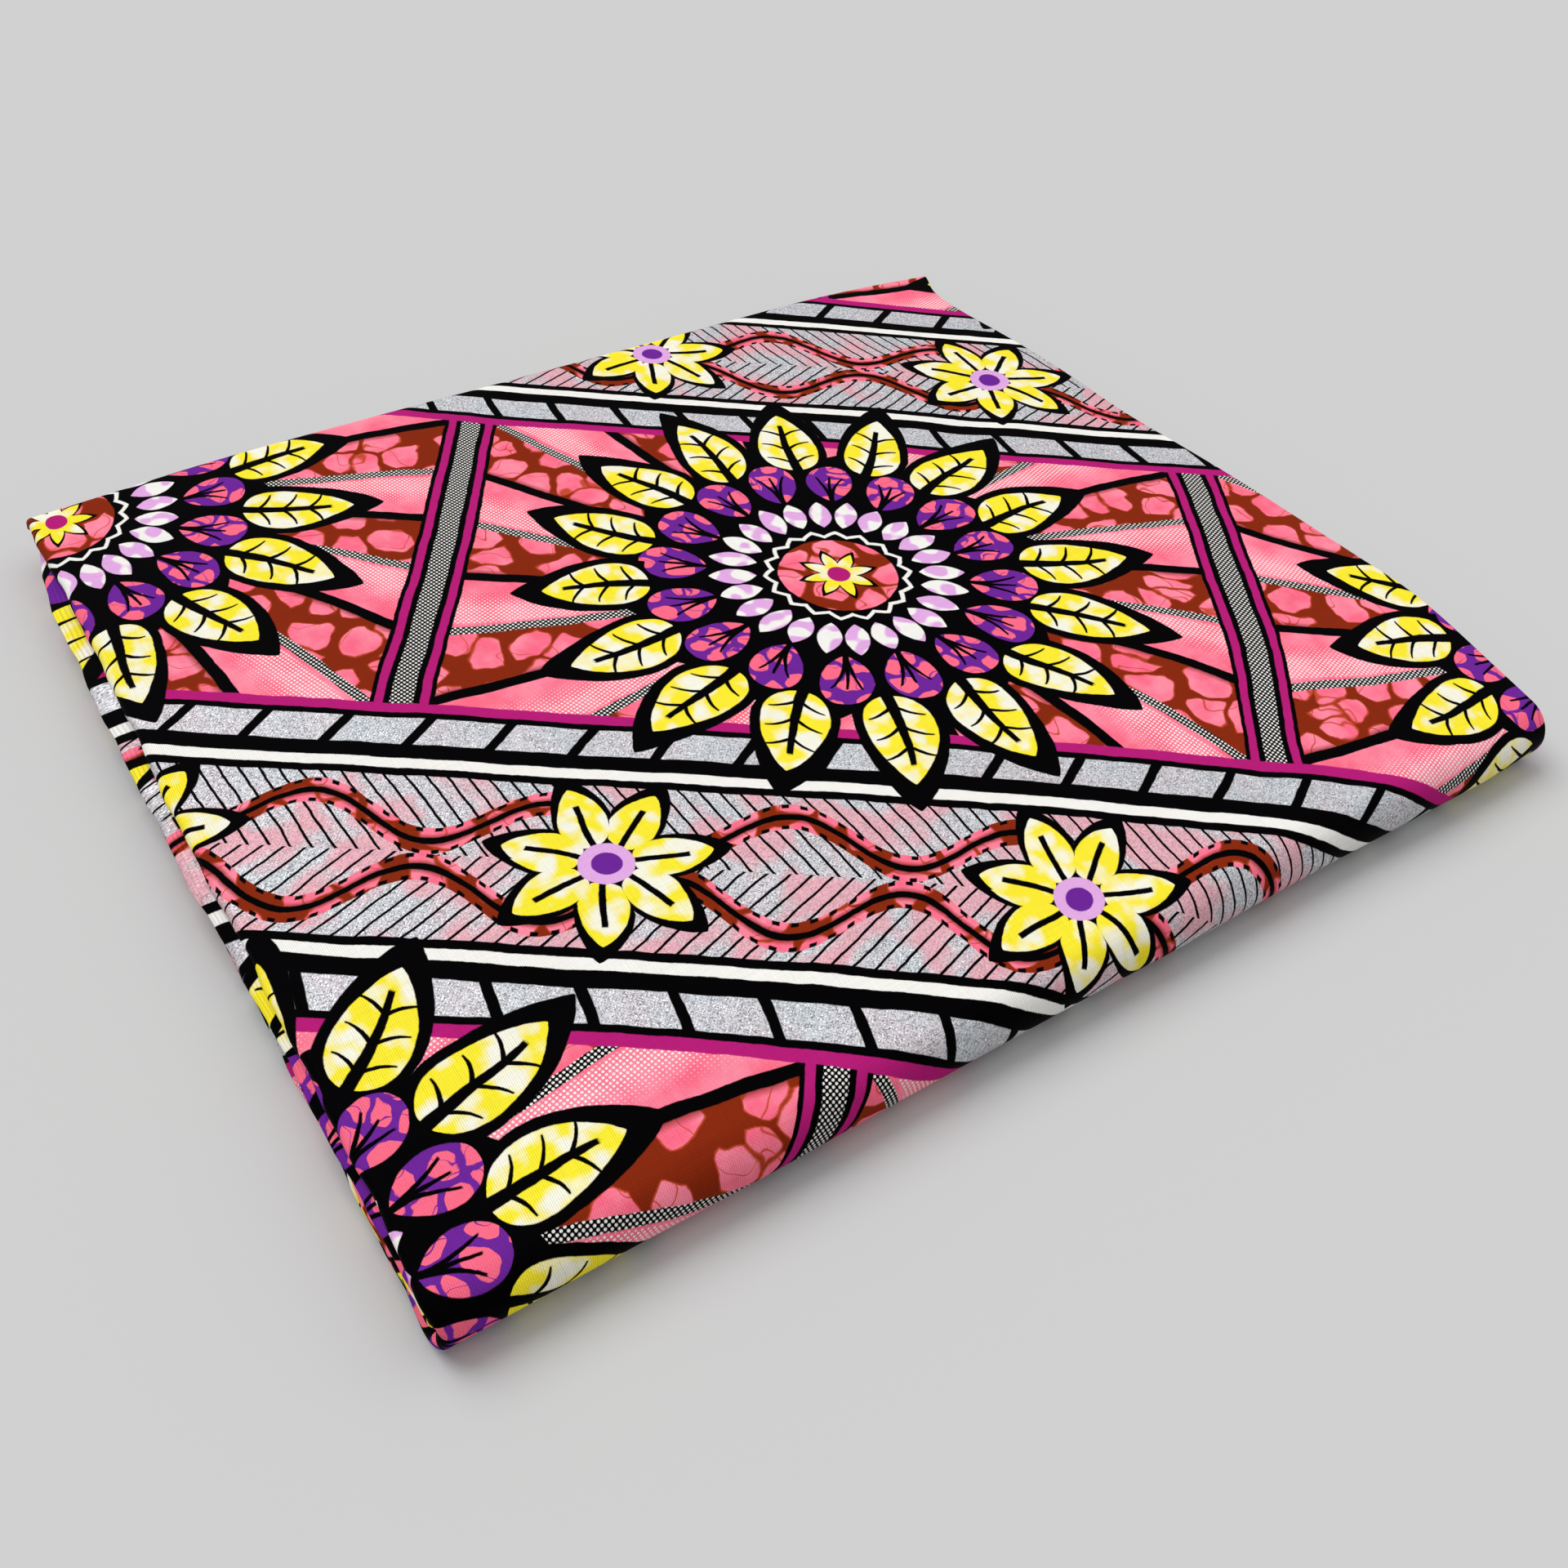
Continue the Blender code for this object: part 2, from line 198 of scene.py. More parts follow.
def lumpShifts(x, y, z):
    # How far the lumps move a point of the edges, in x and in y
    moveX, moveY = np.zeros_like(x), np.zeros_like(x)
    edges = {
        "left": (-halfLength - x, y, moveX, -1),
        "right": (x - halfLength, y, moveX, 1),
        "front": (-halfDepth - y, x, moveY, -1),
        "back": (y - halfDepth, x, moveY, 1),
    }
    for edge, place, height, reachAlong, reachUp, out in edgeLumps:
        depthIn, along, move, sign = edges[edge]
        near = smoothStep(1 + depthIn / bundle["lumpReach"])
        side = ((along - place / 1000) / (reachAlong / 1000)) ** 2
        up = ((z - height / 1000) / (reachUp / 1000)) ** 2
        move += sign * out / 1000 * near * np.exp(-side - up)
    return moveX, moveY


def endRipple(y, z):
    # Small uneven ripples along the left end, different from roll to roll
    level = z / padPitch
    ripple = 0.6 * np.sin(168 * y + 1.5 * level) + 0.4 * np.sin(371 * y + 2.3 * level + 1.0)
    return bundle["rippleHeight"] * (ripple + 0.4 * np.sin(77 * y - 1.2 * level))


def restingPlace(x, y, z):
    # Where a point of the straight, square stack lies in the bundle as it rests
    rightShare = (x / halfLength + 1) / 2
    backShare = (y / halfDepth + 1) / 2
    shiftX = rightShare * strayAt(bundle["rightEdge"], y)
    shiftX = shiftX - (1 - rightShare) * strayAt(bundle["leftEdge"], y)
    shiftY = backShare * strayAt(bundle["backEdge"], x)
    shiftY = shiftY - (1 - backShare) * strayAt(bundle["frontEdge"], x)
    nearLeft = 1 - smoothStep((x + halfLength) / bundle["lowerRollReach"])
    push = strayAt(bundle["lowerRolls"], y) * strayAt(pushByHeight, z) * nearLeft
    lumpX, lumpY = lumpShifts(x, y, z)
    leftNear = 1 - smoothStep((x + halfLength) / bundle["rippleReach"])
    lumpX = lumpX - endRipple(y, z) * leftNear
    lift = creaseLift(x, y) * smoothStep(2.2 * z / stack - 1.2)
    return (
        x + shiftX - push + lumpX + bundle["shiftX"],
        y + shiftY + lumpY + bundle["shiftY"],
        z * heightShare(x, y) + lift,
    )


# The path of the cloth's outer side through the pads: A below, the front fold, B on top, the back
# roll, C, the inner fold and D. Each station has y, z, the way in, its place on the cloth and its
# place in the order of the pads (A is 0, D is 3).


def flatRun(fromY, toY, z, way, padNumber, spacing):
    count = max(2, int(round(abs(toY - fromY) / spacing)) + 1)
    y = np.linspace(fromY, toY, count)
    row = np.ones(count)
    length = abs(y - fromY)
    return np.array([y, z * row, 0 * row, way * row, length, padNumber * row])


def turnRun(centreY, centreZ, radius, fromAngle, toAngle, way, firstPad, steps, lengthRadius):
    angles = np.radians(np.linspace(fromAngle, toAngle, steps + 1))
    share = np.linspace(0, 1, steps + 1)
    y = centreY + radius * np.cos(angles)
    z = centreZ + radius * np.sin(angles)
    length = abs(angles - angles[0]) * lengthRadius
    return np.array(
        [y, z, way * np.cos(angles), way * np.sin(angles), length, firstPad + share]
    )


def joinRuns(runs, startLength):
    # One path from several, each starting where the last one ended
    rows, length = [], startLength
    for index, run in enumerate(runs):
        run = run.copy()
        run[4] += length
        length = run[4, -1]
        rows.append(run if index == 0 else run[:, 1:])
    return np.concatenate(rows, axis=1)


frontCentre = (-halfDepth + frontRadius, frontRadius)
backCentre = (halfDepth - backRadius, stack - backRadius)
innerRadius = bundle["padGap"] / 2


def padRuns(spacing, turnSteps=(8, 8, 8)):
    # The seven runs of the path, from pad A's selvedge to pad D's
    back = halfDepth - bundle["selvedgeInset"]
    front = frontCentre[0]
    return {
        "padA": flatRun(back, front, 0, 1, 0, spacing),
        "frontFold": turnRun(*frontCentre, frontRadius, 270, 90, -1, 0, turnSteps[0], frontRadius),
        "padB": flatRun(front, backCentre[0], stack, -1, 1, spacing),
        "backRoll": turnRun(*backCentre, backRadius, 90, -90, -1, 1, turnSteps[1], backRadius),
        "padC": flatRun(backCentre[0], front, stack - 2 * backRadius, 1, 2, spacing),
        "innerFold": turnRun(*frontCentre, innerRadius, 90, 270, 1, 2, turnSteps[2], pad),
        "padD": flatRun(front, back, frontRadius - innerRadius, -1, 3, spacing),
    }


def lengthBefore(runs, name):
    # Cloth length from the middle of pad B's top to the start of a run
    total = 0
    for key, run in runs.items():
        if key == "padB":
            start = total
        if key == name:
            found = total
        total += run[4, -1]
    return found - start + frontCentre[0]


def lengthAlong(x, depth):
    # Cloth length from the start of a section to each of its points
    steps = np.hypot(np.diff(x), np.diff(depth))
    return np.concatenate([0 * x[..., :1], np.cumsum(steps, axis=-1)], axis=-1)


def clothMesh(name, x, depth, across, path, thickness, edgeY=None):
    # A sheet of cloth swept along the path. x, depth and across hold one row for each station, or
    # one for all. It is bent into the resting bundle and thickened away from its printed side.
    y, z, inY, inZ, along = (row[:, None] for row in path[:5])
    rows, columns = path.shape[1], x.shape[-1]
    x, depth, across = (np.broadcast_to(row, (rows, columns)) for row in (x, depth, across))
    flatY = y + depth * inY if edgeY is None else edgeY
    restX, restY, restZ = restingPlace(x, flatY, z + depth * inZ)
    points = np.stack([restX, restY, np.maximum(restZ, 0)], axis=-1).reshape(-1, 3)
    index = np.arange(rows * columns).reshape(rows, columns)
    corners = np.stack(
        [index[:-1, :-1], index[:-1, 1:], index[1:, 1:], index[1:, :-1]], axis=-1
    ).reshape(-1, 4)
    mesh = bpy.data.meshes.new(name)
    mesh.from_pydata(points.tolist(), [], corners.tolist())
    places = np.stack(np.broadcast_arrays(across, along), axis=-1).reshape(-1, 2)
    layer = mesh.uv_layers.new(name="clothPlace")
    layer.uv.foreach_set("vector", places[corners.reshape(-1)].astype(np.float32).reshape(-1))
    for material in clothMaterials:
        mesh.materials.append(material)
    piece = bpy.data.objects.new(name, mesh)
    bpy.context.scene.collection.objects.link(piece)
    body = piece.modifiers.new("clothThickness", "SOLIDIFY")
    body.thickness = thickness
    body.offset = -1
    body.use_rim = True
    body.material_offset = 1
    body.material_offset_rim = 1
    return piece


def settleModifiers(piece):
    # Keeps the shape that the modifiers give as the piece's own mesh
    bpy.context.view_layer.update()
    evaluated = piece.evaluated_get(bpy.context.evaluated_depsgraph_get())
    mesh = bpy.data.meshes.new_from_object(evaluated)
    piece.modifiers.clear()
    old = piece.data
    piece.data = mesh
    mesh.name = old.name + "Shape"
    bpy.data.meshes.remove(old)
    mesh.shade_smooth()
    mesh.set_sharp_from_angle(angle=math.radians(50))


def joinPieces(name, pieces):
    # One object from several strips of the same cloth
    for piece in pieces:
        settleModifiers(piece)
    with bpy.context.temp_override(
        active_object=pieces[0], selected_editable_objects=pieces, object=pieces[0]
    ):
        bpy.ops.object.join()
    pieces[0].name = name
    pieces[0].data.name = name
    return pieces[0]


# Wires are node outputs that can be added and multiplied, so that patterns read as formulas


class Wire:
    def __init__(self, tree, socket, column=0):
        self.tree = tree
        self.socket = socket
        self.column = column

    def __add__(self, other):
        return calculate("ADD", self, other)

    def __radd__(self, other):
        return calculate("ADD", self, other)

    def __sub__(self, other):
        return calculate("SUBTRACT", self, other)

    def __rsub__(self, other):
        return calculate("SUBTRACT", other, self)

    def __mul__(self, other):
        return calculate("MULTIPLY", self, other)

    def __rmul__(self, other):
        return calculate("MULTIPLY", self, other)

    def __truediv__(self, other):
        return calculate("DIVIDE", self, other)

    def __pow__(self, other):
        return calculate("POWER", self, other)

    def __abs__(self):
        return calculate("ABSOLUTE", self)


def placeNode(tree, kind, values, **settings):
    # A new node to the right of all that feeds it. Values go to its sockets by name or number,
    # settings to the node itself.
    node = tree.nodes.new(kind)
    for key, value in settings.items():
        setattr(node, key, value)
    column = 1
    for key, value in values.items():
        socket = node.inputs[key]
        if isinstance(value, Wire):
            tree.links.new(value.socket, socket)
            column = max(column, value.column + 1)
        else:
            socket.default_value = (*value, 1) if socket.type == "RGBA" else value
    used = sum(1 for other in tree.nodes if other.location.x == 190 * column)
    node.location = (190 * column, -150 * used)
    node.hide = kind == "ShaderNodeMath"
    return node, column


def wireFrom(output, tree, kind, values, **settings):
    node, column = placeNode(tree, kind, values, **settings)
    return Wire(tree, node.outputs[output], column)


def treeOf(terms):
    return next(term.tree for term in terms if isinstance(term, Wire))


def calculate(operation, *terms, clamp=False):
    settings = {"operation": operation, "use_clamp": clamp}
    return wireFrom(0, treeOf(terms), "ShaderNodeMath", dict(enumerate(terms)), **settings)


def vectorCalculate(operation, *terms):
    values = dict(enumerate(terms))
    return wireFrom(0, treeOf(terms), "ShaderNodeVectorMath", values, operation=operation)


def scaled(vector, factor):
    values = {0: vector, 3: factor}
    return wireFrom(0, vector.tree, "ShaderNodeVectorMath", values, operation="SCALE")


def ramp(value, slope, start):
    # A straight rise, held between 0 and 1
    return calculate("MULTIPLY_ADD", value, slope, start, clamp=True)


def above(value, edge, blur=0.25):
    # 1 where value is over edge, with a soft step as wide as blur
    return ramp(value, 1 / blur, 0.5 - edge / blur)


def below(value, edge, blur=0.25):
    return ramp(value, -1 / blur, 0.5 + edge / blur)


def within(value, middle, half, blur=0.25):
    return below(abs(value - middle), half, blur)


def inside(value, limit, blur=0.25):
    # 1 where value is under a limit that changes over the surface
    return ramp(limit - value, 1 / blur, 0.5)


def either(first, second):
    return calculate("MAXIMUM", first, second)


def without(first, second):
    return calculate("MULTIPLY", first, 1 - second)


def fraction(value):
    return calculate("FRACT", value)


def nearest(value):
    return calculate("ROUND", value)


def zigzag(value):
    # 0 at whole numbers, 1 halfway between
    return calculate("PINGPONG", value, 0.5) * 2


def distance(x, y):
    return calculate("SQRT", x * x + y * y)


def turnsTo(x, y):
    # The direction of a point from its centre, in turns
    return calculate("ARCTAN2", y, x) / (2 * math.pi)


def blend(mask, under, over):
    # A number that is under outside the mask and over inside it
    return wireFrom(0, mask.tree, "ShaderNodeMix", {0: mask, 2: under, 3: over})


def paint(mask, under, over):
    # Lays one colour over another where the mask is 1
    values = {0: mask, 6: under, 7: over}
    return wireFrom(2, treeOf(values.values()), "ShaderNodeMix", values, data_type="RGBA")


def splitVector(vector):
    node, column = placeNode(vector.tree, "ShaderNodeSeparateXYZ", {0: vector})
    return tuple(Wire(vector.tree, output, column) for output in node.outputs)


def noise(vector, scale, detail=2.0, roughness=0.5, output="Fac"):
    values = {"Vector": vector, "Scale": scale, "Detail": detail, "Roughness": roughness}
    return wireFrom(output, vector.tree, "ShaderNodeTexNoise", values, noise_dimensions="2D")


def cells(vector, scale, feature="F1", output="Distance"):
    values = {"Vector": vector, "Scale": scale}
    settings = {"voronoi_dimensions": "2D", "feature": feature}
    return wireFrom(output, vector.tree, "ShaderNodeTexVoronoi", values, **settings)


def newGroup(name, inputs, outputs):
    # A node group with named sockets. An input is a place where its value is None and a colour
    # where it has three numbers; outputs are "Float" or "Color".
    tree = bpy.data.node_groups.new(name, "ShaderNodeTree")
    for label, value in inputs.items():
        kind = "Vector" if value is None else "Color" if isinstance(value, tuple) else "Float"
        socket = tree.interface.new_socket(
            name=label, in_out="INPUT", socket_type="NodeSocket" + kind
        )
        if value is not None:
            socket.default_value = (*value, 1) if kind == "Color" else value
    for label, kind in outputs.items():
        tree.interface.new_socket(name=label, in_out="OUTPUT", socket_type="NodeSocket" + kind)
    entry = tree.nodes.new("NodeGroupInput")
    return tree, {label: Wire(tree, entry.outputs[label]) for label in inputs}


def closeGroup(tree, results):
    leave = tree.nodes.new("NodeGroupOutput")
    leave.location = (190 * (2 + max(wire.column for wire in results.values())), 0)
    for label, wire in results.items():
        tree.links.new(wire.socket, leave.inputs[label])
    return tree


def useGroup(group, tree, values):
    # Places a group and returns its outputs as wires
    node, column = placeNode(tree, "ShaderNodeGroup", values, node_tree=group)
    node.location.y = 250
    return {output.name: Wire(tree, output, column) for output in node.outputs}


def buildCrackle():
    # Wax crackle: round blobs close together, with thin lines of the ground and a few cracks
    # between them. Blob is 1 on a blob, Fringe is 1 there and on the thin rim round it.
    tree, wires = newGroup(
        "waxCrackle",
        {"Place": None, "Cell": 12.0, "Gap": 0.04, "Roundness": 0.8},
        {"Blob": "Float", "Fringe": "Float"},
    )
    place = scaled(wires["Place"], calculate("DIVIDE", 1.0, wires["Cell"]))
    sway = vectorCalculate("SUBTRACT", noise(place, 1.3, 1.0, 0.5, "Color"), (0.5, 0.5, 0.5))
    place = vectorCalculate("ADD", place, scaled(sway, 0.42))
    ragged = noise(place, 4.2, 3.0, 0.6) * 0.08 - 0.04
    corner = calculate("MAXIMUM", cells(place, 1.0) - 0.36, 0.0) * wires["Roundness"]
    core = cells(place, 1.0, "DISTANCE_TO_EDGE") - wires["Gap"] - ragged - corner
    crack = below(abs(noise(place, 0.8, 1.0, 0.4) - 0.5), 0.006, 0.008)
    blob = without(ramp(core, 24.0, 0.1), crack)
    return closeGroup(tree, {"Blob": blob, "Fringe": ramp(core, 14.0, 0.9)})


def buildHalftone():
    # Rows of small round dots. Size is a share of the pitch.
    tree, wires = newGroup(
        "halftoneDots", {"Place": None, "Pitch": 1.5, "Size": 0.3}, {"Dots": "Float"}
    )
    x, y = splitVector(wires["Place"])[:2]
    turnedX = (x * 0.94 + y * 0.34) / wires["Pitch"]
    turnedY = (y * 0.94 - x * 0.34) / wires["Pitch"]
    away = distance(fraction(turnedX) - 0.5, fraction(turnedY) - 0.5)
    return closeGroup(tree, {"Dots": inside(away, wires["Size"], 0.18)})


def buildLeafRing():
    # A ring of pointed leaves or round petals about a centre, all in millimetres
    tree, wires = newGroup(
        "leafRing",
        {
            "X": 0.0, "Y": 0.0, "Count": 16.0, "Inner": 50.0, "Outer": 90.0, "Half Width": 10.0,
            "Base Power": 0.5, "Tip Power": 1.0, "Turn": 0.0, "Halo": 2.5, "Bend": 0.5,
        },
        {"Leaf": "Float", "Halo": "Float", "Along": "Float", "Side": "Float"},
    )
    x, y, halo, halfWidth = wires["X"], wires["Y"], wires["Halo"], wires["Half Width"]
    radius = distance(x, y)
    turn = turnsTo(x, y) * wires["Count"] + wires["Turn"]
    side = (fraction(turn) - 0.5) * radius * (2 * math.pi) / wires["Count"]
    number = calculate("FLOOR", turn)
    length = (wires["Outer"] - wires["Inner"]) * (calculate("SINE", number * 4.1) * 0.05 + 1)
    along = (radius - wires["Inner"]) / length
    side = side + calculate("SINE", along * 3.4 + number * 2.3) * wires["Bend"]

    def leafMask(along, widest):
        # 1 inside a leaf that starts where along is 0 and ends where it is 1
        held = calculate("MINIMUM", calculate("MAXIMUM", along, 0.0001), 0.9999)
        reach = held ** wires["Base Power"] * (1 - held) ** wires["Tip Power"] * widest
        return inside(abs(side) + 0.2, reach, 0.3) * within(along, 0.5, 0.495, 0.01)

    leaf = leafMask(along, halfWidth)
    haloAlong = (radius - wires["Inner"] + halo) / (length + halo * 3.2)
    haloLeaf = leafMask(haloAlong, halfWidth + halo * 1.6)
    return closeGroup(
        tree, {"Leaf": leaf, "Halo": haloLeaf, "Along": along, "Side": side / halfWidth}
    )


# The print: rosettes on a ground of rays, between straight diagonal bands. All in millimetres.
waxPrintLayout = {
    "angle": -35.0,
    "rosetteX": 26.0,
    "rosetteY": 4.0,
    "bandPitch": 240.0,
    "rosettePitch": 232.0,
    "rays": 14.0,
    "swirl": 0.00015,
    "wobble": 2.2,
    "cracklePatch": 12.5,
    "fanPatch": 8.0,
    "dotPitch": 1.08,
    "dotSize": 0.31,
    "border": 8.4,
    "borderLine": (5.9, 1.2),  # lines and bands have a middle and a half width
    "borderDots": 3.0,
    "pinstripesFrom": 94.0,
    "pinPitch": 5.2,
    "ribPitch": 58,
    "ribSwing": 7.5,
    "ribMiddle": 108.5,
    "ribHalf": 4.2,
    "tickPitch": 4.6,
    "magentaLine": (69.9, 1.9),
    "band": (82.9, 11.4),
    "ladder": (78.4, 4.8),
    "rungPitch": 21,
    "whiteLine": (90.0, 1.7),
    "flowerHalo": 9.5,
    "flowerMiddle": 6.6,
    "flowerEye": 3.6,
    "spikes": 58.0,
    "whiteRim": 19.6,
    "blackRim": 18.2,
    "middle": 17.2,
    "eye": 3.4,
}

# Rings of leaves, in millimetres: how many, start, end, half width, power of the base and of the
# tip (the lower, the blunter), turn, halo and bend
ringSockets = (
    "Count", "Inner", "Outer", "Half Width", "Base Power", "Tip Power", "Turn", "Halo", "Bend",
)
leafRings = {
    "flower": (7.0, 6.0, 26.0, 6.4, 0.6, 0.8, 0.2, 2.2, 0.5),
    "leaves": (16.0, 55.0, 88.0, 9.6, 0.5, 0.85, 0.0, 4.2, 1.1),
    "fans": (16.0, 37.5, 57.5, 7.6, 0.7, 0.45, 0.5, 0.0, 0.4),
    "lozenges": (24.0, 23.5, 37.0, 3.6, 0.9, 0.9, 0.0, 0.0, 0.2),
}

waxPrintColours = {
    "Pink": (0.95, 0.145, 0.240),
    "Rose": (0.99, 0.26, 0.36),
    "Brown": (0.235, 0.022, 0.005),
    "Rust": (0.56, 0.070, 0.030),
    "Black": (0.0007, 0.0004, 0.0008),
    "White": (0.87, 0.85, 0.81),
    "Silver": (0.63, 0.635, 0.65),
    "Magenta": (0.45, 0.012, 0.175),
    "Yellow": (0.93, 0.79, 0.035),
    "Cream": (0.89, 0.87, 0.73),
    "Purple": (0.150, 0.019, 0.30),
    "Lilac": (0.74, 0.39, 0.74),
}


def placeRing(group, tree, x, y, ring):
    values = dict(zip(ringSockets, leafRings[ring]))
    # The widest place of a leaf is to be as wide as the table says
    base, tip = values["Base Power"], values["Tip Power"]
    peak = (base / (base + tip)) ** base * (tip / (base + tip)) ** tip
    values["Half Width"] /= peak
    return useGroup(group, tree, {"X": x, "Y": y, **values})


def buildWaxPrint(crackle, halftone, leafRing):
    layout = waxPrintLayout
    tree, ink = newGroup(
        "waxPrint", {"Place": None, **waxPrintColours}, {"Colour": "Color", "Glitter": "Float"}
    )
    flat = scaled(ink["Place"], 1000.0)
    drift = noise(flat, 0.035, 6.0, 0.62, "Color")
    drift = scaled(vectorCalculate("SUBTRACT", drift, (0.5, 0.5, 0.5)), layout["wobble"])
    u, v = splitVector(vectorCalculate("ADD", flat, drift))[:2]
    angle = math.radians(layout["angle"])
    fromX, fromY = u - layout["rosetteX"], v - layout["rosetteY"]
    a = fromX * math.cos(angle) + fromY * math.sin(angle)
    b = fromY * math.cos(angle) - fromX * math.sin(angle)

    bandPitch, rosettePitch = layout["bandPitch"], layout["rosettePitch"]
    row = nearest(b / bandPitch)
    localB = b - row * bandPitch
    stepped = a + calculate("FLOORED_MODULO", row, 2.0) * (rosettePitch / 2)
    localA = stepped - nearest(stepped / rosettePitch) * rosettePitch
    radius = distance(localA, localB)
    turn = turnsTo(localA, localB) + radius * layout["swirl"]
    fromMiddle = abs(localB)

    # Rays: crackle and dotted panels by turns, black lines and dotted strips between them
    pink = paint(ramp(noise(flat, 0.08, 3.0, 0.6), 3.2, -1.15), ink["Pink"], ink["Rose"])
    waxValues = {"Place": flat, "Cell": layout["cracklePatch"], "Gap": 0.04, "Roundness": 0.9}
    wax = useGroup(crackle, tree, waxValues)
    crackled = paint(wax["Blob"], paint(wax["Fringe"], ink["Brown"], ink["Rust"]), pink)
    share = fraction(turn * layout["rays"])
    sector = radius * (2 * math.pi / layout["rays"])
    dotValues = {"Place": flat, "Pitch": layout["dotPitch"]}
    dotSize = ramp(share, 5.0, -3.0) * layout["dotSize"]
    dots = useGroup(halftone, tree, {**dotValues, "Size": dotSize})["Dots"]
    dotted = paint(dots * below(share, 0.94, 0.02), pink, ink["White"])
    colour = paint(above(share, 0.5, 0.005), crackled, dotted)
    edgeStrip = below(calculate("MINIMUM", share, 1 - share) * sector, 1.6)
    edgeDots = useGroup(halftone, tree, {**dotValues, "Size": layout["dotSize"]})["Dots"]
    colour = paint(edgeStrip, colour, paint(edgeDots, ink["Black"], ink["White"]))
    fromLine = abs(share - 0.5) * sector
    colour = paint(below(fromLine, 2.6, 2.4) * below(share, 0.5, 0.01), colour, ink["Brown"])
    colour = paint(below(fromLine, 1.8), colour, ink["Black"])

    # Upright borders where the rays of two rosettes meet
    fromBorder = rosettePitch / 2 - abs(localA)
    colour = paint(below(fromBorder, layout["border"]), colour, ink["Black"])
    colour = paint(within(fromBorder, *layout["borderLine"]), colour, ink["Magenta"])
    borderInk = paint(edgeDots, ink["Black"], ink["White"])
    colour = paint(below(fromBorder, layout["borderDots"]), colour, borderInk)

    # Pinstripes in chevrons, with a winding rib of crackle
    pinZone = above(fromMiddle, layout["pinstripesFrom"])
    lean = stepped + (bandPitch / 2 - fromMiddle) * 0.75
    lineGap = fraction(lean / layout["pinPitch"])
    tint = above(noise(flat, 0.05, 2.0), 0.52, 0.12)
    pin = paint(tint * 0.42, ink["Silver"], ink["Pink"])
    pin = paint(within(lineGap, 0.5, 0.085, 0.04), pin, ink["Black"])
    winding = calculate("SINE", stepped * (2 * math.pi / layout["ribPitch"]))
    fromRib = abs(fromMiddle - (winding * layout["ribSwing"] + layout["ribMiddle"]))
    rib = below(fromRib, layout["ribHalf"])
    tick = within(fraction(stepped / layout["tickPitch"]), 0.5, 0.2, 0.06)
    ticks = above(fromRib, 2.9) * tick
    ribColour = paint(ticks, crackled, ink["Black"])
    ribColour = paint(below(fromRib, 1.6, 1.6), ribColour, ink["Brown"])
    ribColour = paint(below(fromRib, 1.0), ribColour, ink["Black"])
    pin = paint(rib, pin, ribColour)
    colour = paint(pinZone, colour, pin)
    glitter = pinZone * (1 - rib) * (1 - tint * 0.5)

    # The bands beside them
    colour = paint(within(fromMiddle, *layout["magentaLine"]), colour, ink["Magenta"])
    band = within(fromMiddle, *layout["band"])
    colour = paint(band, colour, ink["Black"])
    rungPitch = layout["rungPitch"]
    rungGap = abs(fraction(stepped / rungPitch + fromMiddle * 0.022) - 0.5) * rungPitch
    ladder = within(fromMiddle, *layout["ladder"]) * above(rungGap, 1.5)
    colour = paint(ladder, colour, ink["Silver"])
    colour = paint(within(fromMiddle, *layout["whiteLine"]), colour, ink["White"])
    glitter = either(without(glitter, band), ladder)

    # Small flowers in the pinstripes
    half = rosettePitch / 2
    smallA = a - nearest((a - half / 2) / half) * half - half / 2
    smallB = b - (nearest(b / bandPitch - 0.5) + 0.5) * bandPitch
    small = placeRing(leafRing, tree, smallA, smallB, "flower")
    # The yellow dye fades to cream in soft blots and round spots
    blots = noise(flat, 0.10, 2.0, 0.5) - cells(flat, 0.155) * 0.42
    yellowed = paint(ramp(blots, 4.2, -1.08), ink["Yellow"], ink["Cream"])
    smallRadius = distance(smallA, smallB)
    smallHalo = either(small["Halo"], below(smallRadius, layout["flowerHalo"]))
    colour = paint(smallHalo, colour, ink["Black"])
    glitter = without(glitter, smallHalo)
    smallVein = below(abs(small["Side"]), 0.05, 0.015) * below(small["Along"], 0.7, 0.02)
    colour = paint(without(small["Leaf"], smallVein), colour, yellowed)
    colour = paint(below(smallRadius, layout["flowerMiddle"]), colour, ink["Lilac"])
    colour = paint(below(smallRadius, layout["flowerEye"]), colour, ink["Purple"])

    # The rosette: leaves outside, then fans, lozenges and a star in the middle
    leaves = placeRing(leafRing, tree, localA, localB, "leaves")
    spikes = zigzag(turn * leafRings["leaves"][0] + 0.5) * 7.0 + layout["spikes"]
    halo = either(leaves["Halo"], inside(radius, spikes, 0.3))
    colour = paint(halo, colour, ink["Black"])
    glitter = without(glitter, halo)
    sideAway = abs(leaves["Side"])
    midrib = below(sideAway + leaves["Along"] * 0.05, 0.075, 0.012)
    midrib = midrib * below(leaves["Along"], 0.8, 0.02)
    slant = fraction(leaves["Along"] * 4.2 - sideAway * (2.9 - sideAway * 3.4))
    veins = inside(abs(slant - 0.5), 0.105 - sideAway * 0.22, 0.03) * below(sideAway, 0.33, 0.015)
    veins = veins * within(leaves["Along"], 0.45, 0.36, 0.02)
    leafInk = without(leaves["Leaf"], either(midrib, veins))
    colour = paint(leafInk, colour, yellowed)

